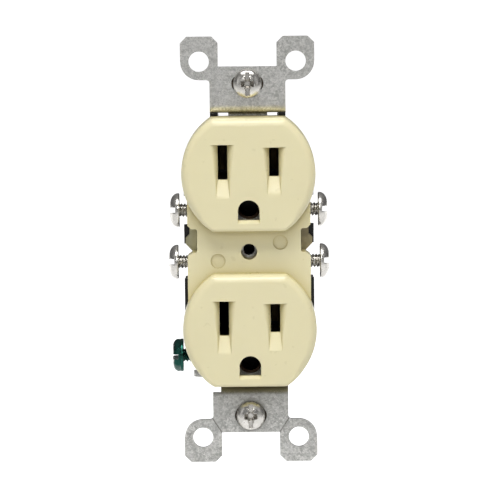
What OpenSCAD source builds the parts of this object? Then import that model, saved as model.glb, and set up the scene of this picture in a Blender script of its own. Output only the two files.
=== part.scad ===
// Duplex wall receptacle: cover, body, one-piece strap, side-wired terminals, spring contacts.
// +X is right and +Z is up on the wall, and the two faces look along -Y. The origin lies on the
// axis of the cover-plate screw, in the plane of the ears' back faces. All lengths are in mm.

/* [Strap] */
// Length of the strap over its ears
strap_len = 106.7; // [106.4:0.1:107.4]
// Width of the strap between its edges
strap_w = 18.85; // [18.6:0.05:19.2]
// Thickness of the strap's steel
strap_t = 1.0; // [0.9:0.05:1.0]
// Half of the width over the ears
ear_half_w = 16.65; // [16.4:0.05:17]
// Radius of the hole in each ear
ear_hole_r = 2.5; // [2:0.1:2.7]
// Distance between the two mounting screws
screw_pitch = 83.3; // [83:0.1:83.6]
// Width of each mounting slot
slot_w = 4.6; // [4.2:0.1:4.8]
// Length of each mounting slot
slot_len = 8.0; // [7:0.1:8.4]

/* [Faces] */
// Distance between the centres of the two faces
face_pitch = 38.9; // [38.8:0.05:39]
// Radius of each face's round sides
face_r = 16.7; // [16.5:0.05:16.9]
// Half of the height between a face's two flats
face_flat = 14.05; // [13.9:0.05:14.2]
// How far a face stands in front of the ears' back
face_front = 7.0; // [6.5:0.1:7.2]
// How far the web between the faces stands in front
web_front = 3.5; // [3.2:0.1:4.2]
// Half of the web's width
web_half_w = 15.3; // [15.1:0.05:15.5]

/* [Slots] */
// Distance between the two blade slots of one face
blade_pitch = 12.7; // [12.6:0.05:12.8]
// Width of a blade slot
blade_slot_w = 2.4; // [2.2:0.1:2.6]
// Height of the neutral slot
neutral_slot_h = 8.6; // [8.2:0.1:8.8]
// Height of the hot slot
hot_slot_h = 7.1; // [6.8:0.1:7.4]
// Height of the blade slots' centres above the face's centre
blade_rise = 3.1; // [3:0.05:3.3]
// Distance from the blade slots' centres down to the ground hole's centre
ground_drop = 12.0; // [11.9:0.05:12.1]
// Radius of the ground hole
ground_hole_r = 2.675; // [2.6:0.025:2.75]

/* [Body] */
// Half of the body's width
body_half_w = 16.2; // [16:0.05:16.3]
// Depth of the body behind the ears' back
body_back = 17.0; // [16.5:0.1:18]

/* [Terminals] */
// Distance of the terminal screws' axes behind the ears' back
terminal_y = 8.0; // [7.6:0.1:8.2]
// Height of the upper terminal screws
upper_terminal_z = 9.3; // [9:0.05:9.5]
// Height of the lower terminal screws
lower_terminal_z = -3.75; // [-3.9:0.05:-3.5]
// How far the heads stand off their plates
head_gap = 3.5; // [3.4:0.05:3.6]
// Radius of a terminal screw's head
head_r = 4.3; // [4:0.05:4.4]
// Thickness of a terminal screw's head
head_t = 2.45; // [2.2:0.05:2.6]
// Outer radius of a number 6 screw's thread
thread_r = 1.75; // [1.7:0.01:1.75]
// Height of the ground screw
ground_screw_z = -27.5; // [-27.7:0.05:-27.2]

/* [Hidden] */
$fn = 72;

steel = [0.68, 0.68, 0.66];
ivory = [0.87, 0.84, 0.70];
black = [0.06, 0.06, 0.065];
brass = [0.72, 0.60, 0.34];
bronze = [0.66, 0.48, 0.32];
nickel = [0.76, 0.75, 0.73];
green = [0.10, 0.34, 0.27];
fibre = [0.55, 0.42, 0.28];

fit_gap = 0.05;

// Heights of the things that repeat on both faces
upper_face_z = face_pitch / 2;
lower_face_z = -face_pitch / 2;
upper_blade_z = upper_face_z + blade_rise;
lower_blade_z = lower_face_z + blade_rise;
upper_ground_z = upper_blade_z - ground_drop;
lower_ground_z = lower_blade_z - ground_drop;
blade_x = blade_pitch / 2;
middle_z = (upper_blade_z + lower_blade_z) / 2;

// Strap
ear_t_y = -strap_t;
strap_end = 45.9;
ear_inner_x = 7.25;
ear_hole_x = 12.0;
ear_hole_z = 47.15;
ear_round_r = 4.6;
ear_chamfer = 1.6;
score_w = 0.35;
score_depth = 0.2;
score_angle = atan2(strap_w / 2 - ear_inner_x, strap_end - ear_hole_z + ear_round_r);
spine_y = 2.0;
bend_in = 0.5;
bend_out = bend_in + strap_t;
front_bend_out = 2.1;
leg_z = 34.3;
neck_half = 4.85;
neck_end = 32.9;
shoulder_half = 7.2;
spine_half = 3.0;
middle_half = 6.0;
spine_end = leg_z - bend_in;
collar_r = 2.5;
collar_back = 5.0;
plate_thread_r = 1.45;
ground_pass_r = 3.1;
rivet_r = 1.1;
rivet_rise = 5.2;
assembly_r = 1.4;

// Ground tab on the strap
tab_t = strap_t;
tab_x = -13.2;
tab_low = -29.6;
tab_arm_top = -26.0;
tab_top = -23.6;
finger_low = -32.2;
finger_top = -30.8;
finger_back = 4.6;
tab_back = 12.5;
tab_bend_r = 0.2;

// Cover
cover_back = spine_y;
cover_wall = 1.6;
face_inner = 5.0;
web_inner = 1.8;
web_pocket_half = 11.3;
web_end = 13.0;
edge_cut = 0.9;
notch_in = 12.9;
notch_low = -0.2;
notch_high = 5.8;
mark_x = 7.75;
mark_z = 2.3;
mark_r = 1.85;
mark_depth = 0.25;
plate_hole_r = 2.0;
boss_r = 2.7;

// Body
body_flat = 33.0;
corner_r = 15.0;
corner_front = 6.5;
recess_low = -8.4;
lip = 1.1;
lip_back = 3.5;
recess_high = 2 * middle_z - recess_low;
plate_in = 13.0;
plate_t = 0.9;
plate_out = plate_in + plate_t;
divider_low = 1.4;
divider_high = 4.8;
lug_low = 2.4;
lug_high = 6.3;
cavity_in = 4.0;
cavity_half_z = 4.2;
cavity_back = 13.4;
shroud_front = -4.9;
arm_in = 8.6;
arm_t = 0.9;
arm_front = 6.0;
arm_back = 12.0;
contact_half_z = 3.5;

// Screws
shank_len = 7.0;
lower_head_gap = head_gap + 0.4;
ground_gap = 2.6;
ground_head_r = 4.15;
ground_head_t = 2.75;
mount_head_r = 3.6;
mount_head_t = 1.9;
mount_shank_len = 20;
mount_neck_r = 1.5;
mount_neck_len = 2.0;
washer_t = 0.8;

// Lays a flat outline drawn as (X, Z) between two depths.
module between_y(y0, y1) {
    translate([0, y1, 0]) rotate([90, 0, 0]) linear_extrude(y1 - y0) children();
}

// Lays a flat outline drawn as (Y, Z) between two sides.
module between_x(x0, x1) {
    translate([x0, 0, 0]) rotate([90, 0, 90]) linear_extrude(x1 - x0) children();
}

// A box given by its two corners.
module block(low, high) {
    translate(low) cube(high - low);
}

// A round bar along Y between two depths.
module bar_y(x, z, r, y0, y1) {
    translate([x, y1, z]) rotate([90, 0, 0]) cylinder(r = r, h = y1 - y0);
}

// Copies its children to both sides of the middle plane.
module both_sides() {
    children();
    mirror([1, 0, 0]) children();
}

// The concave corner left by a rounded inside edge.
module corner_fill(r) {
    difference() {
        square(r);
        translate([r, r]) circle(r = r);
    }
}

// ---- strap ----

module ear_outline() {
    end = strap_len / 2;
    difference() {
        union() {
            polygon([
                [ear_inner_x, strap_end - 2], [strap_w / 2, ear_hole_z - ear_round_r],
                [ear_hole_x, ear_hole_z - ear_round_r], [ear_hole_x, ear_hole_z],
                [ear_half_w, ear_hole_z],
                [ear_half_w, end - ear_chamfer], [ear_half_w - ear_chamfer, end],
                [ear_inner_x + ear_chamfer, end], [ear_inner_x, end - ear_chamfer]
            ]);
            intersection() {
                translate([ear_hole_x, ear_hole_z]) circle(r = ear_round_r);
                translate([ear_hole_x, ear_hole_z - ear_round_r])
                    square([ear_half_w - ear_hole_x, ear_round_r]);
            }
            translate([strap_w / 2, ear_hole_z - ear_round_r]) mirror([0, 1]) corner_fill(0.8);
        }
        translate([ear_hole_x, ear_hole_z]) circle(r = ear_hole_r);
    }
}

// The flat end of the strap with its two ears and the mounting slot.
module strap_end_plate() {
    between_y(ear_t_y, 0) {
        difference() {
            translate([-strap_w / 2, leg_z + front_bend_out])
                square([strap_w, strap_end - leg_z - front_bend_out]);
            for (side = [-1, 1]) {
                translate([side * (slot_len - slot_w) / 2, screw_pitch / 2]) circle(d = slot_w);
            }
            translate([0, screw_pitch / 2]) square([slot_len - slot_w, slot_w], center = true);
        }
        ear_outline();
        mirror([1, 0]) ear_outline();
    }
}

// A quarter turn of the strap's section, as (Y, Z), with a given outer radius.
module quarter_bend(outer) {
    intersection() {
        difference() {
            circle(r = outer);
            circle(r = outer - strap_t);
        }
        translate([-outer, -outer]) square(outer);
    }
}

// The two bends that step the strap back from the ears to its spine.
module strap_step() {
    front_y = ear_t_y + front_bend_out;
    back_y = spine_y - bend_in;
    between_x(-strap_w / 2, strap_w / 2)
        translate([front_y, leg_z + front_bend_out]) quarter_bend(front_bend_out);
    between_x(-neck_half, neck_half) {
        translate([front_y - 0.01, leg_z]) square([back_y - front_y + 0.02, strap_t]);
        translate([back_y, spine_end]) mirror([1, 0]) mirror([0, 1]) quarter_bend(bend_out);
    }
}

// Plan of the flat spine between the two steps, grown by a margin for the channel it lies in.
module spine_plan(margin) {
    for (part = [
        [-spine_end, -neck_end, neck_half], [-neck_end, -22.0, shoulder_half],
        [-22.0, -10.8, spine_half], [-10.8, 16.9, middle_half],
        [16.9, 28.1, spine_half], [28.1, neck_end, shoulder_half], [neck_end, spine_end, neck_half]
    ]) {
        half = part[2] + margin;
        translate([-half, part[0] - margin])
            square([2 * half, part[1] - part[0] + 2 * margin]);
    }
}

module spine_fillets() {
    r = 0.9;
    for (side = [0, 1], end = [0, 1]) {
        mirror([side, 0]) mirror([0, end]) translate([neck_half, neck_end]) corner_fill(r);
    }
}

// An arm from the spine's shoulder, bent back at its end.
module side_arm(low, high, back) {
    bend_y = spine_y + tab_t + tab_bend_r;
    translate([0, 0, low]) linear_extrude(high - low) {
        translate([tab_x + tab_bend_r, spine_y]) square([-shoulder_half - tab_x + 1, tab_t]);
        translate([tab_x + tab_bend_r, bend_y]) intersection() {
            difference() {
                circle(r = tab_t + tab_bend_r);
                circle(r = tab_bend_r);
            }
            translate([-2, -2]) square(2);
        }
        translate([tab_x - tab_t, bend_y]) square([tab_t, back - bend_y]);
    }
}

// Arm and flange that carry the ground screw, and the finger below that keeps its wire in.
module ground_tab() {
    side_arm(tab_low, tab_arm_top, finger_back);
    side_arm(finger_low, finger_top, finger_back);
    difference() {
        block([tab_x - tab_t, spine_y + tab_t + tab_bend_r, tab_low], [tab_x, tab_back, tab_top]);
        translate([tab_x - 2, terminal_y, ground_screw_z]) rotate([0, 90, 0])
            cylinder(r = thread_r + fit_gap, h = 3);
    }
}

module mounting_strap() color(steel) {
    difference() {
        union() {
            for (end = [0, 1]) {
                mirror([0, 0, end]) {
                    strap_end_plate();
                    strap_step();
                }
            }
            between_y(spine_y, spine_y + strap_t) {
                spine_plan(0);
                spine_fillets();
            }
            bar_y(0, 0, collar_r, spine_y + strap_t / 2, collar_back);
            ground_tab();
        }
        bar_y(0, 0, plate_thread_r, spine_y - 1, collar_back + 1);
        for (z = [upper_ground_z, lower_ground_z]) {
            bar_y(0, z, ground_pass_r, spine_y - 1, spine_y + strap_t + 1);
            bar_y(0, z + rivet_rise, rivet_r, spine_y - 1, spine_y + strap_t + 1);
        }
        for (z = [upper_blade_z, lower_blade_z]) {
            bar_y(0, z, assembly_r + 0.1, spine_y - 1, spine_y + strap_t + 1);
        }
        block([-strap_w / 2 - 1, -2, -leg_z - bend_out], [-7.4, 1.3, -leg_z + 1]);
        // Score lines where the ears snap off
        both_sides() for (end = [0, 1]) {
            mirror([0, 0, end]) translate([strap_w / 2, ear_t_y, ear_hole_z - ear_round_r])
                rotate([0, -score_angle, 0]) translate([-score_w / 2, -1, -1])
                    cube([score_w, 1 + score_depth, 6]);
        }
    }
}

// ---- cover ----

// Solid of one face between two depths, inset all round, with its front edge cut back.
module face_solid(inset, front, back, cut) {
    r = face_r - inset;
    flat = face_flat - inset;
    h = front + back;
    intersection() {
        translate([0, back, 0]) rotate([90, 0, 0]) rotate_extrude()
            polygon([[0, 0], [r, 0], [r, h - cut], [r - cut, h], [0, h]]);
        between_x(-face_r, face_r) polygon([
            [back, -flat], [back, flat], [cut - front, flat],
            [-front, flat - cut], [-front, cut - flat], [cut - front, -flat]
        ]);
    }
}

module ground_opening(z) {
    drop = 2.38;
    bar_y(0, z, ground_hole_r, -face_front - 1, -face_inner + 1);
    block([-ground_hole_r, -face_front - 1, z - drop], [ground_hole_r, -face_inner + 1, z]);
}

module blade_opening(x, z, height) {
    block([x - blade_slot_w / 2, -face_front - 1, z - height / 2],
        [x + blade_slot_w / 2, -face_inner + 1, z + height / 2]);
}

module front_cover() color(ivory) {
    difference() {
        union() {
            for (z = [upper_face_z, lower_face_z]) {
                translate([0, 0, z]) difference() {
                    face_solid(0, face_front, cover_back, edge_cut);
                    face_solid(cover_wall, face_inner, cover_back + 1, 0.3);
                }
            }
            difference() {
                block([-web_half_w, -web_front, -web_end], [web_half_w, cover_back, web_end]);
                block([-web_pocket_half, -web_inner, -web_end - 1],
                    [web_pocket_half, cover_back + 1, web_end + 1]);
                for (z = [upper_face_z, lower_face_z]) {
                    translate([0, 0, z]) face_solid(cover_wall, face_inner, cover_back + 1, 0.3);
                }
            }
            for (z = [upper_blade_z, lower_blade_z]) {
                bar_y(0, z, boss_r, -face_inner - 0.5, cover_back);
            }
            bar_y(0, 0, plate_hole_r + 1.2, -web_inner - 0.5, cover_back);
        }
        for (z = [upper_blade_z, lower_blade_z]) {
            bar_y(0, z, assembly_r + fit_gap, -face_inner + 1, cover_back + 1);
            blade_opening(blade_x, z, hot_slot_h);
            blade_opening(-blade_x, z, neutral_slot_h);
        }
        ground_opening(upper_ground_z);
        ground_opening(lower_ground_z);
        bar_y(0, 0, plate_hole_r, -web_front - 1, cover_back + 1);
        bar_y(mark_x, mark_z, mark_r, -web_front - 1, -web_front + mark_depth);
        bar_y(-mark_x, -mark_z, mark_r, -web_front - 1, -web_front + mark_depth);
        both_sides()
            block([notch_in, -web_front - 1, notch_low], [web_half_w + 1, cover_back + 1, notch_high]);
    }
}

// ---- body ----

module body_plan(inset) {
    for (z = [upper_face_z, lower_face_z]) {
        intersection() {
            translate([0, z]) circle(r = body_half_w - inset);
            translate([-body_half_w, -body_flat + inset])
                square([2 * body_half_w, 2 * (body_flat - inset)]);
        }
    }
    translate([inset - body_half_w, lower_face_z]) square([2 * (body_half_w - inset), face_pitch]);
}

// Flats across the body's four round corners, behind its front edge.
module corner_flats() {
    both_sides() for (end = [0, 1]) {
        mirror([0, 0, end]) translate([0, corner_front, upper_face_z]) rotate([0, 45, 0])
            translate([-10, 0, corner_r]) cube([20, 20, 5]);
    }
}

// Channel for one terminal plate's arm, on the right side, towards the upper contact.
module arm_channel() {
    m = 0.1;
    far_z = upper_blade_z + contact_half_z + m;
    bend_z = recess_high + 2;
    block([plate_in - m, spine_y - 1, recess_high - 1], [plate_out + m, arm_back + m, bend_z + arm_t + m]);
    block([arm_in - m, spine_y - 1, bend_z - m], [plate_out + m, arm_back + m, bend_z + arm_t + m]);
    block([arm_in - m, spine_y - 1, bend_z - m], [arm_in + arm_t + m, arm_back + m, far_z]);
}

// Swaps the upper and lower halves of the terminals, which are alike about their own middle.
module flip_ends() {
    children();
    translate([0, 0, 2 * middle_z]) mirror([0, 0, 1]) children();
}

module back_body() color(black) {
    difference() {
        union() {
            difference() {
                union() {
                    between_y(spine_y, body_back - 0.8) body_plan(0);
                    between_y(body_back - 1, body_back) body_plan(0.8);
                    // Lugs beside the strap's neck
                    for (side = [-1, 1]) {
                        block([side * 8.45 - 0.95, spine_y, 29], [side * 8.45 + 0.95, 7, leg_z - 0.1]);
                        block([side * 8.45 - 0.95, 0.6, 33.55], [side * 8.45 + 0.95, 3, leg_z - 0.1]);
                    }
                    block([7.5, spine_y, 0.1 - leg_z], [9.4, 7, -29]);
                    block([7.5, 0.6, 0.1 - leg_z], [9.4, 3, -33.55]);
                    // Walls that shroud the blade contacts up to the back of the faces
                    both_sides() for (z = [upper_blade_z, lower_blade_z]) {
                        block([3.2, shroud_front, z - 5.2], [10.8, spine_y + 1, z + 5.2]);
                    }
                }
                both_sides() block([plate_in, spine_y - 1, recess_low], [20, body_back + 1, recess_high]);
            }
            // Barrier between the two terminals, with its lug in front
            both_sides() {
                block([plate_in - 0.5, spine_y + 1.2, divider_low],
                    [body_half_w, body_back - 1.5, divider_high]);
                block([plate_out + 0.1, lip_back - 0.45, lug_low], [body_half_w, lip_back + 0.05, lug_high]);
                block([15.0, spine_y + 0.05, lug_low + 2.2], [body_half_w, lip_back, lug_high]);
            }
            // Lips at the front of the terminals' recesses
            both_sides() flip_ends() {
                block([plate_in - 0.5, spine_y, recess_high - lip],
                    [body_half_w, lip_back, recess_high + 0.1]);
            }
        }
        corner_flats();
        between_y(spine_y - 1, spine_y + strap_t) spine_plan(0.1);
        for (end = [0, 1]) {
            mirror([0, 0, end]) block([-7.3, 1, neck_end - 0.1], [7.3, spine_y + strap_t, 36]);
        }
        block([-7.4, 3, 31.2], [7.4, 20, 35]);
        both_sides() flip_ends() {
            arm_channel();
            block([cavity_in, shroud_front - 1, upper_blade_z - cavity_half_z],
                [arm_in + arm_t + 0.1, cavity_back, upper_blade_z + cavity_half_z]);
        }
        // Wells behind the terminal screws' points
        both_sides() for (z = [upper_terminal_z, lower_terminal_z]) {
            translate([6.7, terminal_y, z]) rotate([0, 90, 0]) cylinder(r = thread_r + 0.4, h = 8);
        }
        for (z = [upper_ground_z, lower_ground_z]) {
            block([-3.5, 0, z - 3.4], [3.5, cavity_back, z + rivet_rise + 2.2]);
        }
        for (z = [upper_blade_z, lower_blade_z]) {
            bar_y(0, z, assembly_r + 0.15, 0, 20);
            bar_y(0, z, 2.9, body_back - 2.2, 20);
        }
        bar_y(0, 0, collar_r + 0.4, 0, cavity_back);
        // Open corner for the ground tab and its screw
        block([-20, spine_y - 3, -35], [-shoulder_half, 20, -23.2]);
    }
}

// ---- terminals and contacts ----

// Right-hand terminal plate: two halves, each with an arm to its contact, and the link between.
module terminal_plate() {
    bend_z = recess_high + 2;
    front = spine_y + 1;
    difference() {
        union() {
            flip_ends() {
                block([plate_in, front, divider_high + 0.1],
                    [plate_out, lip_back + 0.1, recess_high - lip - 0.1]);
                block([plate_in, lip_back + 0.05, divider_high + 0.1], [plate_out, 14, recess_high - 0.1]);
                block([plate_in, arm_front, recess_high - 0.2], [plate_out, arm_back, bend_z + arm_t]);
                block([arm_in, arm_front, bend_z], [plate_out, arm_back, bend_z + arm_t]);
                block([arm_in, arm_front, bend_z],
                    [arm_in + arm_t, arm_back, upper_blade_z + contact_half_z]);
            }
            between_y(spine_y + 0.1, spine_y + 1) polygon([
                [plate_in, -0.4], [14.1, -0.4], [15.8, 1.4], [15.85, 3.0],
                [14.9, 3.9], [14.9, 7.0], [plate_in, 7.0]
            ]);
            block([plate_in, spine_y + 0.5, -0.4], [plate_out, front + 0.1, 7.0]);
        }
        for (z = [upper_terminal_z, lower_terminal_z]) {
            translate([plate_in - 1, terminal_y, z]) rotate([0, 90, 0])
                cylinder(r = thread_r + fit_gap, h = 3);
        }
    }
}

module hot_terminal_plate() color(brass) terminal_plate();
module neutral_terminal_plate() color(nickel) mirror([1, 0, 0]) terminal_plate();

// Two spring leaves that pinch a blade, with a flared mouth towards the face.
module blade_contact(x, z) {
    half = arm_in - blade_x;
    outer = [[half, 13.2], [half, 9], [1.35, 1.6], [2.0, -1.0]];
    inner = [[1.45, -1.0], [0.74, 1.5], [half - 0.6, 9], [half - 0.6, 12.6]];
    right = concat(outer, inner);
    left = [for (i = [len(right) - 1:-1:0]) [-right[i][0], right[i][1]]];
    translate([x, 0, z - contact_half_z]) linear_extrude(2 * contact_half_z)
        polygon(concat(right, left));
}

module upper_hot_contact() color(brass) blade_contact(blade_x, upper_blade_z);
module lower_hot_contact() color(brass) blade_contact(blade_x, lower_blade_z);
module upper_neutral_contact() color(brass) blade_contact(-blade_x, upper_blade_z);
module lower_neutral_contact() color(brass) blade_contact(-blade_x, lower_blade_z);

// Split tube for the round ground pin, on a flange riveted to the back of the strap.
module ground_contact(z) {
    y0 = spine_y + strap_t;
    t = 0.6;
    inner = 2.45;
    difference() {
        union() {
            block([-3.4, y0, z - 3.3], [3.4, y0 + t, z + rivet_rise + 2.0]);
            bar_y(0, z, inner + t, y0, 12);
        }
        bar_y(0, z, inner, y0 - 1, 13);
        bar_y(0, z + rivet_rise, rivet_r, y0 - 1, y0 + 2);
        block([-4, y0 + t, z - 0.8], [4, 13, z + 0.8]);
        block([-0.8, y0 + t, z - 4], [0.8, 13, z + 4]);
    }
}

module upper_ground_contact() color(bronze) ground_contact(upper_ground_z);
module lower_ground_contact() color(bronze) ground_contact(lower_ground_z);

module ground_rivet(z) {
    bar_y(0, z + rivet_rise, 1.9, spine_y - 0.6, spine_y);
    bar_y(0, z + rivet_rise, rivet_r, spine_y - 0.1, spine_y + strap_t + 0.7);
    bar_y(0, z + rivet_rise, 1.7, spine_y + strap_t + 0.6, spine_y + strap_t + 1.1);
}

module upper_ground_rivet() color(nickel) ground_rivet(upper_ground_z);
module lower_ground_rivet() color(nickel) ground_rivet(lower_ground_z);

module assembly_screw(z) {
    difference() {
        union() {
            bar_y(0, z, assembly_r, -2.8, body_back - 2);
            bar_y(0, z, 2.7, body_back - 2.2, body_back - 0.5);
        }
        block([-0.35, body_back - 1.3, z - 2], [0.35, body_back, z + 2]);
        block([-2, body_back - 1.3, z - 0.35], [2, body_back, z + 0.35]);
    }
}

module upper_assembly_screw() color(steel) assembly_screw(upper_blade_z);
module lower_assembly_screw() color(steel) assembly_screw(lower_blade_z);

// ---- moving screws ----

// Binding-head screw that points along -X, with the underside of its head at a given X.
module terminal_screw(under_x, z) {
    dome_r = 5.2;
    translate([under_x, terminal_y, z]) rotate([0, 90, 0]) difference() {
        union() {
            rotate_extrude() intersection() {
                translate([0, head_t - dome_r]) circle(r = dome_r);
                square([head_r, head_t]);
            }
            translate([0, 0, -shank_len + 0.5]) cylinder(r = thread_r, h = shank_len);
            translate([0, 0, -shank_len]) cylinder(r1 = thread_r - 0.5, r2 = thread_r, h = 0.5);
        }
        translate([-0.65, -5, head_t - 1.4]) cube([1.3, 10, 2]);
    }
}

module upper_hot_screw() color(nickel) terminal_screw(plate_out + head_gap, upper_terminal_z);
module lower_hot_screw() color(nickel) terminal_screw(plate_out + lower_head_gap, lower_terminal_z);
module upper_neutral_screw() color(nickel) mirror([1, 0, 0])
    terminal_screw(plate_out + head_gap, upper_terminal_z);
module lower_neutral_screw() color(nickel) mirror([1, 0, 0])
    terminal_screw(plate_out + lower_head_gap, lower_terminal_z);

// Hexagonal slotted screw that points along +X on the left side.
module ground_screw() color(green) {
    under_x = tab_x - tab_t - ground_gap;
    translate([under_x, terminal_y, ground_screw_z]) rotate([0, -90, 0]) difference() {
        union() {
            cylinder(r = ground_head_r, h = 0.8);
            intersection() {
                cylinder(r = ground_head_r, h = ground_head_t, $fn = 6);
                cylinder(r1 = ground_head_r + 1.2, r2 = ground_head_r - 0.7, h = ground_head_t);
            }
            translate([0, 0, -6]) cylinder(r = thread_r, h = 6.1);
            translate([0, 0, -6.5]) cylinder(r1 = thread_r - 0.5, r2 = thread_r, h = 0.5);
        }
        translate([-0.6, -5, ground_head_t - 1.3]) cube([1.2, 10, 2]);
    }
}

// Oval-head mounting screw with a slot and a cross recess.
module mounting_screw(z) {
    under_y = ear_t_y - fit_gap;
    cap_r = (mount_head_r * mount_head_r + mount_head_t * mount_head_t) / (2 * mount_head_t);
    translate([0, under_y, z]) rotate([90, 0, 0]) difference() {
        union() {
            rotate_extrude() intersection() {
                translate([0, mount_head_t - cap_r]) circle(r = cap_r);
                square([mount_head_r, mount_head_t]);
            }
            translate([0, 0, -mount_neck_len - 0.1]) cylinder(r = mount_neck_r, h = mount_neck_len + 0.3);
            translate([0, 0, -mount_shank_len]) cylinder(r = thread_r, h = mount_shank_len - mount_neck_len);
        }
        translate([-0.5, -5, mount_head_t - 0.9]) cube([1, 10, 2]);
        translate([-1.6, -0.45, mount_head_t - 1.3]) cube([3.2, 0.9, 2]);
    }
}

module upper_mounting_screw() color(nickel) mounting_screw(screw_pitch / 2);
module lower_mounting_screw() color(nickel) mounting_screw(-screw_pitch / 2);

// Fibre square round the screw's plain neck. The thread can't pass it, so it keeps the screw in its slot.
module retaining_washer(z) {
    difference() {
        block([-5.2, fit_gap, z - 4], [5.2, fit_gap + washer_t, z + 4]);
        bar_y(0, z, mount_neck_r + fit_gap, -1, 2);
    }
}

module upper_retaining_washer() color(fibre) retaining_washer(screw_pitch / 2);
module lower_retaining_washer() color(fibre) retaining_washer(-screw_pitch / 2);

mounting_strap();
front_cover();
back_body();
hot_terminal_plate();
neutral_terminal_plate();
upper_hot_contact();
lower_hot_contact();
upper_neutral_contact();
lower_neutral_contact();
upper_ground_contact();
lower_ground_contact();
upper_ground_rivet();
lower_ground_rivet();
upper_assembly_screw();
lower_assembly_screw();
upper_hot_screw();
lower_hot_screw();
upper_neutral_screw();
lower_neutral_screw();
ground_screw();
upper_mounting_screw();
lower_mounting_screw();
upper_retaining_washer();
lower_retaining_washer();
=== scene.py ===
import math

import bmesh
import bpy
from mathutils import Matrix, Vector


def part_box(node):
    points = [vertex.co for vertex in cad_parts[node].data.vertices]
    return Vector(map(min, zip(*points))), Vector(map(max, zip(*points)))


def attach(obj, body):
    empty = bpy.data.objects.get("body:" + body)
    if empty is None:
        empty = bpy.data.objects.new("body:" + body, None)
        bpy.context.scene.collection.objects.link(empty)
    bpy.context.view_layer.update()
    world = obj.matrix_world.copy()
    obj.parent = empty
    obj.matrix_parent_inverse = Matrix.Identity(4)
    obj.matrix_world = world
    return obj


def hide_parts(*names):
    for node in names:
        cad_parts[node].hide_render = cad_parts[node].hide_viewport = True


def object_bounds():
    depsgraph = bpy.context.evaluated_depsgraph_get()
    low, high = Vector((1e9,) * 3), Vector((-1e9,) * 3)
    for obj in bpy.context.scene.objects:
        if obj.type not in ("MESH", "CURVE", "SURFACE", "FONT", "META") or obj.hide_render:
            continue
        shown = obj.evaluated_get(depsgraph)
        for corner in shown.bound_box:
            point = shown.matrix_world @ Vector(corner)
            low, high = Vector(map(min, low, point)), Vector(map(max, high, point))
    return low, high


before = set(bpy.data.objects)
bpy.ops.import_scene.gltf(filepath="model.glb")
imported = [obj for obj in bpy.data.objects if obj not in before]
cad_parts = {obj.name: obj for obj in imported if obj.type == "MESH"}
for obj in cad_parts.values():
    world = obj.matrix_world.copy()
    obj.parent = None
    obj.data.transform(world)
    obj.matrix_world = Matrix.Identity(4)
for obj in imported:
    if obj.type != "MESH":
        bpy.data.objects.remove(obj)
cad_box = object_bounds()
scene = bpy.context.scene

MM = 0.001

# ---- sizes, in millimetres in the CAD frame ----

FACE_PITCH = 38.9
FACE_R = 16.7
FACE_FLAT = 14.05
FACE_FRONT = -7.0
WEB_FRONT = -3.5
WEB_HALF = 15.3
WEB_END = 13.0
COVER_BACK = 2.0
FACE_FILLET = 2.0
LOWER_FILLET = 0.8
FACE_DRAFT = 0.05
COVER_WALL = 1.6
FACE_INSIDE = -5.0
WEB_INSIDE = -1.8
FACE_POINTS = 192

NOTCH_LOW = -0.2
NOTCH_HIGH = 5.8
NOTCH_IN = 12.9
MARK_X = 7.75
MARK_Z = 2.3
MARK_R = 1.85
MARK_DEPTH = 0.4
PLATE_HOLE_R = 2.0
BOSS_R = 2.7

BLADE_X = 6.35
BLADE_RISE = 3.1
GROUND_DROP = 12.0
SLOT_W = 2.4
HOT_H = 7.1
NEUTRAL_H = 8.6
GROUND_R = 2.675
GROUND_FLAT = 2.38

THREAD_R = 1.75
THREAD_PITCH = 0.794
THREAD_DEPTH = 0.42
NECK_R = THREAD_R - 0.2
TERMINAL_Y = 8.0
UPPER_TERMINAL_Z = 9.3
LOWER_TERMINAL_Z = -3.75
TERMINAL_HEAD_R = 4.3
TERMINAL_HEAD_T = 2.45
GROUND_SCREW_Z = -27.5
GROUND_HEAD_R = 4.15
GROUND_HEAD_T = 2.75
MOUNT_SPACING = 83.3
MOUNT_HEAD_R = 3.6
MOUNT_HEAD_T = 1.9


# ---- camera, lights and floor ----

def add_camera():
    elevation = math.radians(7.0)
    roll = math.radians(0.6)
    distance = 0.80
    view_width = 0.1247
    target = Vector((0.22, 0.0, 0.02)) * MM
    back = Vector((0.0, -math.cos(elevation), math.sin(elevation)))
    up = Vector((math.sin(roll), 0.0, math.cos(roll)))
    right = up.cross(back).normalized()
    up = back.cross(right).normalized()
    data = bpy.data.cameras.new("camera")
    data.sensor_width = 36.0
    data.lens = data.sensor_width * distance / view_width
    data.clip_start = 0.01
    camera = bpy.data.objects.new("camera", data)
    turn = Matrix((right, up, back)).transposed().to_4x4()
    camera.matrix_world = Matrix.Translation(target + back * distance) @ turn
    scene.collection.objects.link(camera)
    scene.camera = camera


def add_softbox(name, place, width, height, radiance):
    """A rectangular light with a given radiance, turned towards the origin."""
    data = bpy.data.lights.new(name, "AREA")
    data.shape = "RECTANGLE"
    data.size = width
    data.size_y = height
    data.energy = radiance * math.pi * width * height
    light = bpy.data.objects.new(name, data)
    light.location = place
    light.rotation_euler = (-Vector(place)).to_track_quat("-Z", "Y").to_euler()
    scene.collection.objects.link(light)


def add_world():
    """A dim room, lighter towards its ceiling."""
    world = bpy.data.worlds.new("studio")
    world.use_nodes = True
    nodes = world.node_tree.nodes
    links = world.node_tree.links
    coords = nodes.new("ShaderNodeTexCoord")
    split = nodes.new("ShaderNodeSeparateXYZ")
    lift = nodes.new("ShaderNodeMapRange")
    lift.inputs["From Min"].default_value = -0.1
    lift.inputs["To Min"].default_value = 0.07
    lift.inputs["To Max"].default_value = 0.30
    links.new(coords.outputs["Generated"], split.inputs["Vector"])
    links.new(split.outputs["Z"], lift.inputs["Value"])
    background = nodes["Background"]
    background.inputs["Color"].default_value = (1.0, 1.0, 1.0, 1)
    links.new(lift.outputs["Result"], background.inputs["Strength"])
    scene.world = world


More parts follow.
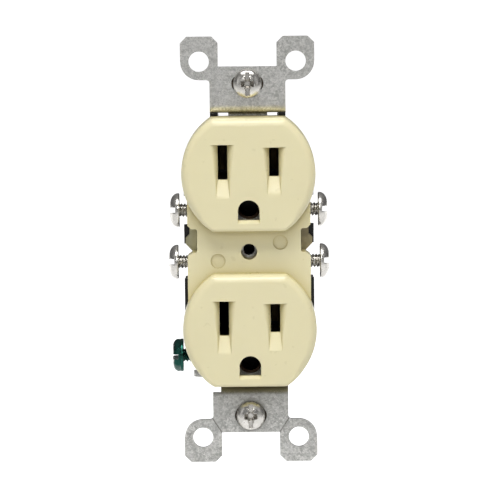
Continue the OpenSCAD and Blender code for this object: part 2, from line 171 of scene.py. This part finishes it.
def add_floor():
    """A pale floor that glows like a light table below and behind the object."""
    drop = 0.066
    size = 9.0
    z = cad_box[0][2] - drop
    mesh = bpy.data.meshes.new("floor")
    corners = [(-size, -size, z), (size, -size, z), (size, size, z), (-size, size, z)]
    mesh.from_pydata(corners, [], [(0, 1, 2, 3)])
    floor = bpy.data.objects.new("floor", mesh)
    scene.collection.objects.link(floor)
    paint = Paint("pale_floor", 0.0, 0.9)
    shader = paint.shader
    shader.inputs["Base Color"].default_value = (0.60, 0.60, 0.60, 1)
    shader.inputs["Specular IOR Level"].default_value = 0.1
    shader.inputs["Emission Color"].default_value = (1.0, 1.0, 1.0, 1)
    behind = paint.remap(paint.along(1), 0.10, 0.26, 0.0, 0.55)
    below = paint.remap(paint.along(1), -0.45, -0.10, 0.0, 0.45)
    glow = paint.math("ADD", behind, below)
    paint.link(glow, shader.inputs["Emission Strength"])
    mesh.materials.append(paint.material)


def add_studio():
    scene.view_settings.view_transform = "Standard"
    scene.view_settings.look = "None"
    add_world()
    add_softbox("overhead", (0.0, -0.33, 0.73), 0.66, 0.30, 10.5)
    add_softbox("front_strip", (0.0, -0.80, 0.38), 0.24, 0.15, 10.0)
    add_softbox("bounce_card", (0.0, -0.86, -0.16), 0.60, 0.25, 0.75)
    add_softbox("front_left", (-0.75, -0.75, 0.25), 0.30, 0.70, 0.6)
    add_softbox("front_right", (0.75, -0.75, 0.25), 0.30, 0.70, 0.5)
    add_floor()


# ---- material building ----

class Paint:
    """A node material, with short calls for the nodes that every surface here uses."""

    def __init__(self, name, metallic, roughness):
        self.material = bpy.data.materials.new(name)
        self.material.use_nodes = True
        self.nodes = self.material.node_tree.nodes
        self.links = self.material.node_tree.links
        self.shader = self.nodes["Principled BSDF"]
        self.shader.inputs["Metallic"].default_value = metallic
        self.shader.inputs["Roughness"].default_value = roughness
        self.coords = self.nodes.new("ShaderNodeTexCoord").outputs["Object"]

    def link(self, source, target):
        self.links.new(source, target)

    def stretched(self, x, y, z):
        node = self.nodes.new("ShaderNodeMapping")
        node.inputs["Scale"].default_value = (x, y, z)
        self.link(self.coords, node.inputs["Vector"])
        return node.outputs["Vector"]

    def shifted(self, amount, scale):
        """Object coordinates pushed about by noise, which breaks up straight edges."""
        noise = self.nodes.new("ShaderNodeTexNoise")
        noise.inputs["Scale"].default_value = scale
        self.link(self.coords, noise.inputs["Vector"])
        push = self.nodes.new("ShaderNodeVectorMath")
        push.operation = "MULTIPLY_ADD"
        push.inputs[1].default_value = (amount, amount, amount)
        self.link(noise.outputs["Color"], push.inputs[0])
        self.link(self.coords, push.inputs[2])
        return push.outputs["Vector"]

    def noise(self, scale, detail=3.0, vector=None):
        node = self.nodes.new("ShaderNodeTexNoise")
        node.inputs["Scale"].default_value = scale
        node.inputs["Detail"].default_value = detail
        self.link(vector or self.coords, node.inputs["Vector"])
        return node.outputs["Fac"]

    def cells(self, scale, vector=None):
        node = self.nodes.new("ShaderNodeTexVoronoi")
        node.inputs["Scale"].default_value = scale
        self.link(vector or self.coords, node.inputs["Vector"])
        split = self.nodes.new("ShaderNodeSeparateColor")
        self.link(node.outputs["Color"], split.inputs["Color"])
        return split.outputs["Red"]

    def remap(self, value, low, high, to_low=0.0, to_high=1.0):
        node = self.nodes.new("ShaderNodeMapRange")
        node.inputs["From Min"].default_value = low
        node.inputs["From Max"].default_value = high
        node.inputs["To Min"].default_value = to_low
        node.inputs["To Max"].default_value = to_high
        self.link(value, node.inputs["Value"])
        return node.outputs["Result"]

    def math(self, kind, a, b):
        node = self.nodes.new("ShaderNodeMath")
        node.operation = kind
        for socket, value in zip(node.inputs, (a, b)):
            if isinstance(value, (int, float)):
                socket.default_value = value
            else:
                self.link(value, socket)
        return node.outputs["Value"]

    def mix(self, factor, first, second):
        node = self.nodes.new("ShaderNodeMix")
        node.data_type = "RGBA"
        self.link(factor, node.inputs["Factor"])
        for socket, colour in ((node.inputs[6], first), (node.inputs[7], second)):
            if isinstance(colour, tuple):
                socket.default_value = (*colour, 1)
            else:
                self.link(colour, socket)
        return node.outputs[2]

    def edges(self, radius, low, high):
        """A mask that is 1 on worn edges, from how far a rounded normal leans off the true one."""
        bevel = self.nodes.new("ShaderNodeBevel")
        bevel.samples = 6
        bevel.inputs["Radius"].default_value = radius
        geometry = self.nodes.new("ShaderNodeNewGeometry")
        dot = self.nodes.new("ShaderNodeVectorMath")
        dot.operation = "DOT_PRODUCT"
        self.link(bevel.outputs["Normal"], dot.inputs[0])
        self.link(geometry.outputs["Normal"], dot.inputs[1])
        return self.remap(dot.outputs["Value"], high, low)

    def hollows(self, reach, low, high):
        """A mask that is 1 in the open and 0 deep in grooves and recesses."""
        node = self.nodes.new("ShaderNodeAmbientOcclusion")
        node.samples = 6
        node.inputs["Distance"].default_value = reach
        return self.remap(node.outputs["AO"], low, high)

    def along(self, axis):
        split = self.nodes.new("ShaderNodeSeparateXYZ")
        self.link(self.coords, split.inputs["Vector"])
        return split.outputs[axis]

    def colour(self, socket):
        self.link(socket, self.shader.inputs["Base Color"])

    def roughness(self, socket):
        self.link(socket, self.shader.inputs["Roughness"])

    def bump(self, *layers):
        """Stacks height layers, each given as its socket, strength and depth in millimetres."""
        normal = None
        for height, strength, depth in layers:
            node = self.nodes.new("ShaderNodeBump")
            node.inputs["Strength"].default_value = strength
            node.inputs["Distance"].default_value = depth * MM
            self.link(height, node.inputs["Height"])
            if normal is not None:
                self.link(normal, node.inputs["Normal"])
            normal = node.outputs["Normal"]
        self.link(normal, self.shader.inputs["Normal"])


def ivory_plastic():
    """Moulded plastic, with painted shade, deeper and yellower, where its own surfaces close in on it."""
    paint = Paint("ivory_plastic", 0.0, 0.3)
    cloud = paint.noise(90, 3)
    speck = paint.noise(2600, 2)
    tint = paint.mix(paint.remap(cloud, 0.2, 0.8), (0.718, 0.658, 0.415), (0.732, 0.674, 0.428))
    tint = paint.mix(paint.remap(speck, 0.55, 0.80, 0.0, 0.06), tint, (0.66, 0.60, 0.39))
    # Painted shade: a deep yellow is mixed in wherever ambient occlusion finds recesses, such as the web
    # under the faces.
    paint.colour(paint.mix(paint.hollows(6.0 * MM, 0.30, 0.95), (0.50, 0.42, 0.17), tint))
    paint.roughness(paint.remap(paint.noise(420, 2), 0.2, 0.8, 0.26, 0.34))
    paint.shader.inputs["Subsurface Weight"].default_value = 0.06
    paint.shader.inputs["Subsurface Radius"].default_value = (1.0, 0.8, 0.4)
    paint.shader.inputs["Subsurface Scale"].default_value = 0.8 * MM
    paint.bump((paint.noise(1500, 1), 0.05, 0.006), (paint.noise(60, 0), 0.10, 0.03))
    return paint.material


def black_plastic():
    paint = Paint("black_plastic", 0.0, 0.3)
    dust = paint.remap(paint.noise(260, 6), 0.55, 0.8)
    paint.colour(paint.mix(dust, (0.007, 0.007, 0.007), (0.018, 0.017, 0.016)))
    paint.shader.inputs["Specular IOR Level"].default_value = 0.32
    paint.roughness(paint.remap(paint.noise(300, 4), 0.3, 0.7, 0.25, 0.42))
    paint.bump((paint.noise(900, 3), 0.15, 0.03))
    return paint.material


def galvanised_steel():
    """Zinc crystals, with painted shade in hollows and a painted shadow where the cover overhangs the strap's
    lower end.
    """
    paint = Paint("galvanised_steel", 1.0, 0.45)
    grain = paint.shifted(0.35 * MM, 900)
    coarse = paint.cells(1250, grain)
    fine = paint.cells(3300, grain)
    patch = paint.math("ADD", paint.math("MULTIPLY", coarse, 0.4), paint.math("MULTIPLY", fine, 0.6))
    shade = paint.mix(paint.remap(patch, 0.15, 0.85), (0.42, 0.42, 0.40), (0.84, 0.83, 0.80))
    shade = paint.mix(paint.remap(paint.noise(1500, 4), 0.50, 0.70, 0.0, 0.6), shade, (0.28, 0.28, 0.26))
    shade = paint.mix(paint.remap(paint.noise(160, 3), 0.35, 0.70, 0.0, 0.45), shade, (0.56, 0.56, 0.54))
    shade = paint.mix(paint.edges(0.25 * MM, 0.80, 0.97), shade, (0.80, 0.80, 0.78))
    # Painted shadow: below the cover, the strap darkens towards the cover's overhang, from occlusion and
    # height.
    below = paint.remap(paint.along(2), -30 * MM, -33 * MM)
    painted_cover_shadow = paint.math("MULTIPLY", paint.hollows(16.0 * MM, 1.0, 0.50), below)
    shade = paint.mix(painted_cover_shadow, shade, (0.20, 0.195, 0.17))
    # Painted shade: a dark brown is mixed in wherever the strap's hollows close in.
    paint.colour(paint.mix(paint.hollows(3.0 * MM, 0.04, 0.28), (0.15, 0.135, 0.10), shade))
    paint.roughness(paint.remap(patch, 0.1, 0.9, 0.50, 0.34))
    scratches = paint.noise(500, 2, paint.stretched(0.25, 1, 3.5))
    paint.bump((fine, 0.10, 0.015), (scratches, 0.12, 0.02), (paint.noise(140, 2), 0.2, 0.08))
    return paint.material


def plated_screw(name, painted_groove_shade, open_level):
    """Plated steel, with painted shade in its grooves wherever they are less open than a level."""
    paint = Paint(name, 1.0, 0.25)
    cloud = paint.noise(500, 4)
    tint = paint.mix(paint.remap(cloud, 0.35, 0.7), (0.77, 0.75, 0.71), (0.58, 0.56, 0.52))
    # Painted shade: slots, recesses and thread roots take the given dark colour by ambient occlusion.
    paint.colour(paint.mix(paint.hollows(1.0 * MM, open_level - 0.4, open_level), painted_groove_shade, tint))
    paint.roughness(paint.remap(paint.noise(900, 4), 0.3, 0.7, 0.18, 0.36))
    scuffs = paint.noise(1500, 2, paint.stretched(1, 3, 0.4))
    paint.bump((scuffs, 0.12, 0.02), (paint.noise(420, 2), 0.18, 0.05))
    return paint.material


def green_screw():
    """Green lacquer, worn to bare metal in patches on the head's outer face and on its edges."""
    paint = Paint("green_screw", 1.0, 0.3)
    outer = frame_low("ground_screw", 0)
    reach = paint.math("ADD", paint.along(0), paint.math("MULTIPLY", paint.noise(700, 4), 0.9 * MM))
    face = paint.remap(reach, outer + 0.82 * MM, outer + 0.66 * MM)
    worn = paint.math("MAXIMUM", face, paint.math("MULTIPLY", paint.edges(0.12 * MM, 0.75, 0.9), 0.5))
    lacquer = paint.mix(paint.noise(300, 4), (0.012, 0.056, 0.044), (0.024, 0.108, 0.086))
    paint.colour(paint.mix(worn, lacquer, (0.66, 0.65, 0.64)))
    paint.roughness(paint.remap(paint.noise(800, 4), 0.3, 0.7, 0.2, 0.36))
    paint.bump((paint.noise(700, 3), 0.2, 0.04))
    return paint.material


def strip_metal(name, light, dark, roughness):
    """Stamped strip: mottled colour with rolling lines."""
    paint = Paint(name, 1.0, roughness)
    lines = paint.noise(900, 3, paint.stretched(1, 1, 0.15))
    cloud = paint.noise(240, 5)
    tint = paint.mix(paint.remap(cloud, 0.35, 0.7), light, dark)
    paint.colour(paint.mix(paint.edges(0.15 * MM, 0.8, 0.96), tint, tuple(min(1.0, 1.15 * c) for c in light)))
    paint.roughness(paint.remap(lines, 0.3, 0.7, roughness - 0.07, roughness + 0.1))
    paint.bump((lines, 0.15, 0.02))
    return paint.material


def fibre_card():
    paint = Paint("fibre_card", 0.0, 0.85)
    fibres = paint.noise(1400, 5, paint.stretched(0.3, 1, 1))
    paint.colour(paint.mix(paint.remap(fibres, 0.35, 0.65), (0.075, 0.055, 0.04), (0.14, 0.10, 0.07)))
    paint.bump((fibres, 0.5, 0.05))
    return paint.material


def frame_low(node, axis):
    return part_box(node)[0][axis]


# ---- mesh building ----

def make_object(name, verts, faces):
    """An object from points in millimetres."""
    mesh = bpy.data.meshes.new(name)
    mesh.from_pydata([tuple(c * MM for c in v) for v in verts], [], faces)
    mesh.update()
    piece = bpy.data.objects.new(name, mesh)
    scene.collection.objects.link(piece)
    return piece


def loft(name, rings):
    """A closed solid through rings of points, which all have the same number of points."""
    count = len(rings[0])
    verts = [point for ring in rings for point in ring]
    faces = [tuple(range(count))[::-1]]
    for level in range(len(rings) - 1):
        low = level * count
        for i in range(count):
            j = (i + 1) % count
            faces.append((low + i, low + j, low + count + j, low + count + i))
    top = (len(rings) - 1) * count
    faces.append(tuple(top + i for i in range(count)))
    piece = make_object(name, verts, faces)
    mend_normals(piece)
    return piece


def mend_normals(piece):
    mesh = bmesh.new()
    mesh.from_mesh(piece.data)
    bmesh.ops.recalc_face_normals(mesh, faces=mesh.faces)
    mesh.to_mesh(piece.data)
    mesh.free()


def box(name, low, high):
    (x0, y0, z0), (x1, y1, z1) = low, high
    rings = [[(x0, y, z0), (x1, y, z0), (x1, y, z1), (x0, y, z1)] for y in (y0, y1)]
    return loft(name, rings)


def rod(name, x, z, r, y0, y1, count=48):
    """A round bar along Y."""
    turns = [2 * math.pi * i / count for i in range(count)]
    rings = [[(x + r * math.cos(a), y, z + r * math.sin(a)) for a in turns] for y in (y0, y1)]
    return loft(name, rings)


def prism(name, outline, y0, y1):
    """An outline of (x, z) points, run between two depths."""
    return loft(name, [[(x, y, z) for x, z in outline] for y in (y0, y1)])


def rounded(corners, steps=6):
    """An outline of (x, z) points whose corners, given as (x, z, radius), are rounded."""
    outline = []
    count = len(corners)
    for i, (x, z, radius) in enumerate(corners):
        here = Vector((x, z))
        if radius <= 0:
            outline.append((x, z))
            continue
        before = (Vector(corners[i - 1][:2]) - here).normalized()
        after = (Vector(corners[(i + 1) % count][:2]) - here).normalized()
        half = before.angle(after) / 2
        centre = here + (before + after).normalized() * (radius / math.sin(half))
        start = here + before * (radius / math.tan(half)) - centre
        sweep = start.angle_signed(here + after * (radius / math.tan(half)) - centre)
        for k in range(steps + 1):
            turned = start.copy()
            turned.rotate(Matrix.Rotation(-sweep * k / steps, 2))
            outline.append(tuple(centre + turned))
    return outline


def apply_modifiers(piece):
    graph = bpy.context.evaluated_depsgraph_get()
    mesh = bpy.data.meshes.new_from_object(piece.evaluated_get(graph))
    old = piece.data
    piece.modifiers.clear()
    piece.data = mesh
    bpy.data.meshes.remove(old)


def combine(piece, others, operation):
    """Cuts the others from a piece, or adds them to it, and removes them."""
    for other in others:
        modifier = piece.modifiers.new("combine", "BOOLEAN")
        modifier.operation = operation
        modifier.solver = "EXACT"
        modifier.object = other
    apply_modifiers(piece)
    for other in others:
        bpy.data.objects.remove(other)


def cut(piece, *others):
    combine(piece, others, "DIFFERENCE")


def add(piece, *others):
    combine(piece, others, "UNION")


def tidy_mesh(piece):
    """Joins points that touch, and clears edges that lie in a flat face."""
    mesh = bmesh.new()
    mesh.from_mesh(piece.data)
    bmesh.ops.remove_doubles(mesh, verts=mesh.verts, dist=0.006 * MM)
    bmesh.ops.dissolve_limit(mesh, angle_limit=math.radians(0.25), verts=mesh.verts, edges=mesh.edges)
    mesh.to_mesh(piece.data)
    mesh.free()


def add_edges(piece, width, angle, segments):
    """Rounds the edges sharper than an angle."""
    bevel = piece.modifiers.new("edge", "BEVEL")
    bevel.width = width * MM
    bevel.segments = segments
    bevel.limit_method = "ANGLE"
    bevel.angle_limit = math.radians(angle)
    bevel.use_clamp_overlap = True
    bevel.miter_outer = "MITER_ARC"


def add_normals(piece):
    """Smooth shading in which the large faces stay flat."""
    normals = piece.modifiers.new("normals", "WEIGHTED_NORMAL")
    normals.mode = "FACE_AREA_WITH_ANGLE"
    normals.weight = 80
    normals.keep_sharp = False


def shade_smooth(piece):
    piece.data.polygons.foreach_set("use_smooth", [True] * len(piece.data.polygons))


def grid_cut(piece, step):
    """Cuts a mesh along a grid, so that smooth shading stays local on its large faces."""
    mesh = bmesh.new()
    mesh.from_mesh(piece.data)
    for axis in (0, 2):
        values = [v.co[axis] for v in mesh.verts]
        low, high = min(values), max(values)
        count = int((high - low) / (step * MM))
        for i in range(1, count):
            place = Vector((0, 0, 0))
            place[axis] = low + (high - low) * i / count
            normal = Vector((0, 0, 0))
            normal[axis] = 1
            whole = mesh.verts[:] + mesh.edges[:] + mesh.faces[:]
            bmesh.ops.bisect_plane(mesh, geom=whole, dist=0.0005 * MM, plane_co=place, plane_no=normal)
    mesh.to_mesh(piece.data)
    mesh.free()


def soften(piece, width, angle=32, segments=2):
    """Rounds a piece's sharp edges, with clean shading on both sides of them."""
    tidy_mesh(piece)
    add_edges(piece, width, angle, segments)
    shade_smooth(piece)
    add_normals(piece)


def finish_piece(piece, node, body, material):
    piece.data.materials.clear()
    piece.data.materials.append(material)
    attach(piece, body)
    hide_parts(node)


def dress_node(name, material, width):
    """Gives a CAD node its material, and rounds its edges by modifiers."""
    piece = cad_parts[name]
    for slot in piece.material_slots:
        slot.material = material
    weld = piece.modifiers.new("weld", "WELD")
    weld.merge_threshold = 0.002 * MM
    planar = piece.modifiers.new("planar", "DECIMATE")
    planar.decimate_type = "DISSOLVE"
    planar.angle_limit = math.radians(0.8)
    add_edges(piece, width, 32, 2)
    add_normals(piece)


# ---- cover ----

def face_angle(i):
    return 2 * math.pi * (i + 0.5) / FACE_POINTS


def face_point(i, inset):
    """Point (x, z) on a face's outline: a circle with two flats, whose four corners are rounded."""
    blend = 0.2
    angle = face_angle(i)
    arc = FACE_R - inset
    flat = (FACE_FLAT - inset) / max(abs(math.sin(angle)), 0.05)
    gap = max(blend - abs(arc - flat), 0.0) / blend
    radius = min(arc, flat) - gap * gap * blend / 4
    return radius * math.cos(angle), radius * math.sin(angle)


def face_outline(inset, centre_z, y):
    points = [face_point(i, inset) for i in range(FACE_POINTS)]
    return [(x, y, centre_z + z) for x, z in points]


def fillet_radius(i):
    """Radius of a face's front edge: full at the top and sides, smaller along the lower flat."""
    change_start = 0.55
    change_length = 0.25
    low = -math.sin(face_angle(i))
    share = min(max((low - change_start) / change_length, 0.0), 1.0)
    share = share * share * (3 - 2 * share)
    return FACE_FILLET + (LOWER_FILLET - FACE_FILLET) * share


def face_body(centre_z):
    """Outside of one face, with drafted walls and a round front edge."""
    rings = [face_outline(0.0, centre_z, COVER_BACK)]
    steps = 10
    for step in range(steps + 1):
        turn = math.pi / 2 * step / steps
        ring = []
        for i in range(FACE_POINTS):
            radius = fillet_radius(i)
            x, z = face_point(i, FACE_DRAFT + radius * (1 - math.cos(turn)))
            ring.append((x, FACE_FRONT + radius * (1 - math.sin(turn)), centre_z + z))
        rings.append(ring)
    return loft("face", rings)


def face_pocket(centre_z):
    rings = [face_outline(COVER_WALL, centre_z, y) for y in (FACE_INSIDE, COVER_BACK + 1)]
    return loft("pocket", rings)


def web_body():
    """The web's outside, with the notches for the terminals' links in its sides."""
    ramp = 0.9
    low_ramp = 1.3
    right = [
        (WEB_HALF, -WEB_END, 0.0), (WEB_HALF, NOTCH_LOW - ramp, 0.7),
        (WEB_HALF - low_ramp, NOTCH_LOW, 0.7), (NOTCH_IN, NOTCH_LOW, 0.5),
        (NOTCH_IN, NOTCH_HIGH, 0.5), (WEB_HALF - ramp, NOTCH_HIGH, 0.4),
        (WEB_HALF, NOTCH_HIGH + ramp, 0.5), (WEB_HALF, WEB_END, 0.0)
    ]
    left = [(-x, z, r) for x, z, r in reversed(right)]
    return prism("web", rounded(right + left), WEB_FRONT, COVER_BACK)


def slot_cutter(x, z, height):
    half = SLOT_W / 2
    tall = height / 2
    corner = 0.28
    corners = [(-half, -tall), (half, -tall), (half, tall), (-half, tall)]
    outline = rounded([(x + a, z + b, corner) for a, b in corners], 4)
    return prism("slot", outline, FACE_FRONT - 1, FACE_INSIDE + 1)


def lead_in(x, z, height):
    """Scoop that guides a blade in: deep at the slot's top, it runs out below the slot."""
    top = z + height / 2 + 0.12
    low = z - height / 2
    rim = 0.25
    # Each section: its height, its depth, and the half widths of its floor and of its mouth
    sections = [
        (top, 1.65, 1.25, 3.20), (top - 3.0, 1.45, 1.25, 2.80), (low, 1.20, 1.25, 2.00),
        (low - 2.2, 0.60, 1.45, 1.85), (low - 4.5, 0.0, 1.68, 1.78)
    ]
    rings = []
    for level, depth, floor, mouth in sections:
        across = [-mouth - rim]
        sinks = [-0.06]
        steps = 10
        for k in range(steps + 1):
            share = k / steps
            across.append(-mouth + (mouth - floor) * share)
            sinks.append(depth * share ** 2 - 0.012 * (1 - share))
        profile = list(zip(across, sinks))
        profile += [(-a, s) for a, s in reversed(profile)]
        ring = [(x + a, FACE_FRONT + s, level) for a, s in profile]
        ring += [(x + a, FACE_FRONT - 1, level) for a in (mouth + rim, -mouth - rim)]
        rings.append(ring)
    return loft("lead_in", rings)


def ground_cutter(z):
    steps = 28
    dome = [
        (GROUND_R * math.cos(math.pi * i / steps), z + GROUND_R * math.sin(math.pi * i / steps))
        for i in range(steps + 1)
    ]
    flat = rounded([
        (-GROUND_R, z, 0.0), (-GROUND_R, z - GROUND_FLAT, 0.25),
        (GROUND_R, z - GROUND_FLAT, 0.25), (GROUND_R, z, 0.0)
    ], 4)[1:-1]
    return prism("ground", dome + flat, FACE_FRONT - 1, FACE_INSIDE + 1)


def ground_lead_in(z):
    """Sloped step under the flat of a ground hole."""
    half = GROUND_R + 0.05
    top = z - GROUND_FLAT
    front = FACE_FRONT - 0.5
    back = FACE_FRONT + 0.8
    drop = 0.75
    rings = []
    for x in (-half, half):
        rings.append([
            (x, front, top + 0.4), (x, back, top + 0.4), (x, back, top),
            (x, FACE_FRONT, top - drop), (x, front, top - drop - 0.45)
        ])
    return loft("step", rings)


def build_cover(material):
    upper, lower = FACE_PITCH / 2, -FACE_PITCH / 2
    cover = face_body(upper)
    add(cover, face_body(lower), web_body())
    pocket_half = NOTCH_IN - COVER_WALL
    pocket = box("web_pocket", (-pocket_half, WEB_INSIDE, -WEB_END), (pocket_half, COVER_BACK + 1, WEB_END))
    add(pocket, face_pocket(upper), face_pocket(lower))
    blades = (upper + BLADE_RISE, lower + BLADE_RISE)
    bosses = [rod("boss", 0, z, BOSS_R, FACE_INSIDE - 1, COVER_BACK + 2) for z in blades]
    cut(pocket, rod("tube", 0, 0, PLATE_HOLE_R + 1.2, WEB_INSIDE - 1, COVER_BACK + 2), *bosses)
    cutters = [pocket, rod("hole", 0, 0, PLATE_HOLE_R, WEB_FRONT - 1, COVER_BACK + 1)]
    for side in (1, -1):
        x, z = MARK_X * side, MARK_Z * side
        cutters.append(rod("mark", x, z, MARK_R, WEB_FRONT - 1, WEB_FRONT + MARK_DEPTH))
    for z in blades:
        cutters.append(rod("screw_way", 0, z, 1.45, FACE_INSIDE + 1, COVER_BACK + 1))
        for x, height in ((BLADE_X, HOT_H), (-BLADE_X, NEUTRAL_H)):
            cutters.append(lead_in(x, z, height))
            cutters.append(slot_cutter(x, z, height))
        cutters.append(ground_lead_in(z - GROUND_DROP))
        cutters.append(ground_cutter(z - GROUND_DROP))
    for cutter in cutters:
        cut(cover, cutter)
    cover.name = "moulded_cover"
    tidy_mesh(cover)
    add_edges(cover, 0.16, 28, 3)
    apply_modifiers(cover)
    grid_cut(cover, 1.0)
    shade_smooth(cover)
    add_normals(cover)
    finish_piece(cover, "front_cover", "receptacle", material)


# ---- screws ----

def thread_radius(along, angle):
    """Radius of a V thread at a distance along the shank and an angle round it."""
    turn = (along / THREAD_PITCH - angle / (2 * math.pi)) % 1.0
    crest_share = 0.08
    flank_share = 0.80
    ridge = abs(2 * turn - 1)
    flank = min(max((ridge - crest_share) / flank_share, 0.0), 1.0)
    return THREAD_R - THREAD_DEPTH * flank


def threaded_rings(start, length, count):
    """Rings (height, radii) down a shank, with the thread fading in at the head and out at the tip."""
    rings = []
    steps = int(length / THREAD_PITCH * 8)
    fade_length = 0.35
    tip_share = 0.62
    tip_length = 1.2
    for step in range(steps + 1):
        along = length * step / steps
        fade = min(1.0, along / fade_length)
        taper = min(1.0, tip_share + (length - along) / tip_length)
        radii = []
        for i in range(count):
            radius = thread_radius(along, 2 * math.pi * i / count)
            radius = NECK_R + (radius - NECK_R) * fade
            radii.append(radius * taper)
        rings.append((start - along, radii))
    return rings


def turned(name, rings, count):
    """A solid from rings (height, radii) about the Z axis, closed at both ends."""
    points = []
    for height, radii in rings:
        ring = []
        for i in range(count):
            radius = radii[i] if isinstance(radii, list) else radii
            angle = 2 * math.pi * i / count
            ring.append((radius * math.cos(angle), radius * math.sin(angle), height))
        points.append(ring)
    return loft(name, points)


def dome_rings(radius, thickness, rim, top_r, steps=10):
    """Profile of a domed head from its top down to its underside's edge."""
    rings = [(thickness, top_r)]
    for step in range(1, steps + 1):
        turn = math.pi / 2 * step / steps
        height = rim + (thickness - rim) * math.cos(turn)
        rings.append((height, top_r + (radius - top_r) * math.sin(turn)))
    rings += [(rim * 0.5, radius), (0.12, radius - 0.03), (0.0, radius - 0.18)]
    return rings


def place(piece, origin, direction):
    """Turns a piece built about Z so that +Z points along a direction, at an origin in millimetres."""
    turn = Vector((0, 0, 1)).rotation_difference(Vector(direction)).to_matrix().to_4x4()
    piece.data.transform(Matrix.Translation(Vector(origin) * MM) @ turn)


def terminal_screw(name, side, under_x, z, slot_turn, material):
    """Binding-head screw on a side of the body, with the underside of its head at a given X."""
    count = 48
    rings = dome_rings(TERMINAL_HEAD_R, TERMINAL_HEAD_T, 0.45, 1.3)
    rings += [(0.0, 2.1), (-0.05, NECK_R)]
    rings += threaded_rings(-0.1, 6.9, count)
    screw = turned(name + "_piece", rings, count)
    slot = box("slot", (-0.65, -6, TERMINAL_HEAD_T - 1.4), (0.65, 6, TERMINAL_HEAD_T + 1))
    slot.data.transform(Matrix.Rotation(slot_turn, 4, "Z"))
    cut(screw, slot)
    place(screw, (side * under_x, TERMINAL_Y, z), (side, 0, 0))
    soften(screw, 0.09, angle=40)
    finish_piece(screw, name, name, material)


def ground_screw(material):
    """Slotted hexagon head on a round flange."""
    count = 60
    across = GROUND_HEAD_R

    def hexagon(radius, roundness):
        """Radii round a hexagon, from sharp at a roundness of 0 to a circle at 1."""
        radii = []
        for i in range(count):
            angle = (i * 2 * math.pi / count) % (math.pi / 3) - math.pi / 6
            flat = radius * math.cos(math.pi / 6) / math.cos(angle)
            radii.append(flat + (radius * 0.95 - flat) * roundness)
        return radii

    rings = [(GROUND_HEAD_T, [1.6] * count), (2.70, hexagon(2.9, 0.9)), (2.45, hexagon(3.5, 0.75)),
             (2.05, hexagon(3.95, 0.45)), (1.6, hexagon(across, 0.15)), (1.0, hexagon(across, 0.1)),
             (0.85, hexagon(across, 0.3)), (0.72, [across - 0.05] * count), (0.55, [across] * count),
             (0.15, [across] * count), (0.0, [across - 0.18] * count), (0.0, [2.1] * count),
             (-0.05, [NECK_R] * count)]
    rings += threaded_rings(-0.1, 6.4, count)
    screw = turned("ground_screw_piece", rings, count)
    cut(screw, box("slot", (-0.62, -6, 1.35), (0.62, 6, 4)))
    under_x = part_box("ground_screw")[0][0] / MM + GROUND_HEAD_T
    place(screw, (under_x, TERMINAL_Y, GROUND_SCREW_Z), (-1, 0, 0))
    soften(screw, 0.09, angle=40)
    finish_piece(screw, "ground_screw", "ground_screw", material)


def mounting_screw(name, z, material):
    """Oval head with a slot across it and a cross recess in the middle."""
    count = 48
    under = -1.05
    rings = dome_rings(MOUNT_HEAD_R, MOUNT_HEAD_T, 0.3, 0.6, 14)
    rings += [(0.0, 2.0), (-0.05, NECK_R)]
    rings += threaded_rings(-0.1, 19.9, count)
    screw = turned(name + "_piece", rings, count)
    slot = box("slot", (-0.55, -2.95, MOUNT_HEAD_T - 0.95), (0.55, 2.95, MOUNT_HEAD_T + 1))
    cut(screw, slot)
    for turn in (0.0, math.pi / 2):
        # Each end of a wing: its half width, its half length and its height
        ends = [(0.4, 0.7, 0.1), (0.8, 1.85, 2.2)]
        wing = loft("wing", [[(-a, -b, h), (a, -b, h), (a, b, h), (-a, b, h)] for a, b, h in ends])
        wing.data.transform(Matrix.Rotation(turn, 4, "Z"))
        cut(screw, wing)
    place(screw, (0, under, z), (0, -1, 0))
    soften(screw, 0.07, angle=40)
    finish_piece(screw, name, name, material)


# ---- the object ----

def build_object():
    ivory = ivory_plastic()
    black = black_plastic()
    steel = galvanised_steel()
    # The first colour given to each plated screw is the painted shade for its grooves.
    bright = plated_screw("plated_screw", (0.30, 0.28, 0.23), 0.42)
    oval = plated_screw("plated_oval_screw", (0.30, 0.28, 0.25), 0.80)
    brass = strip_metal("brass_strip", (0.50, 0.435, 0.25), (0.26, 0.222, 0.14), 0.40)
    nickel = strip_metal("nickel_strip", (0.50, 0.47, 0.30), (0.36, 0.34, 0.215), 0.36)
    # Painted shade: the blade and ground contacts are near-black brass and bronze, darkened so that the slots
    # and ground holes read as shade.
    shade_dark_brass = strip_metal("contact_brass_painted_shade", (0.14, 0.105, 0.05), (0.08, 0.06, 0.03), 0.5)
    shade_dark_bronze = strip_metal("bronze_strip", (0.13, 0.085, 0.055), (0.07, 0.045, 0.03), 0.5)
    zinc = strip_metal("steel_fastener", (0.58, 0.58, 0.57), (0.40, 0.40, 0.40), 0.36)
    card = fibre_card()

    build_cover(ivory)
    dress_node("mounting_strap", steel, 0.14)
    dress_node("back_body", black, 0.22)
    for side in ("hot", "neutral"):
        plate = brass if side == "hot" else nickel
        dress_node(side + "_terminal_plate", plate, 0.10)
        for end in ("upper", "lower"):
            dress_node(f"{end}_{side}_contact", shade_dark_brass, 0.08)
    for end in ("upper", "lower"):
        dress_node(end + "_ground_contact", shade_dark_bronze, 0.08)
        dress_node(end + "_ground_rivet", zinc, 0.10)
        dress_node(end + "_assembly_screw", zinc, 0.12)
        dress_node(end + "_retaining_washer", card, 0.08)

    heights = {"upper": UPPER_TERMINAL_Z, "lower": LOWER_TERMINAL_Z}
    for end, z in heights.items():
        for name, side in (("hot", 1), ("neutral", -1)):
            node = f"{end}_{name}_screw"
            low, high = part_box(node)
            under = max(abs(low[0]), abs(high[0])) / MM - TERMINAL_HEAD_T
            terminal_screw(node, side, under, z, -side * math.radians(7), bright)
    ground_screw(green_screw())
    mounting_screw("upper_mounting_screw", MOUNT_SPACING / 2, oval)
    mounting_screw("lower_mounting_screw", -MOUNT_SPACING / 2, oval)


add_camera()
add_studio()
build_object()
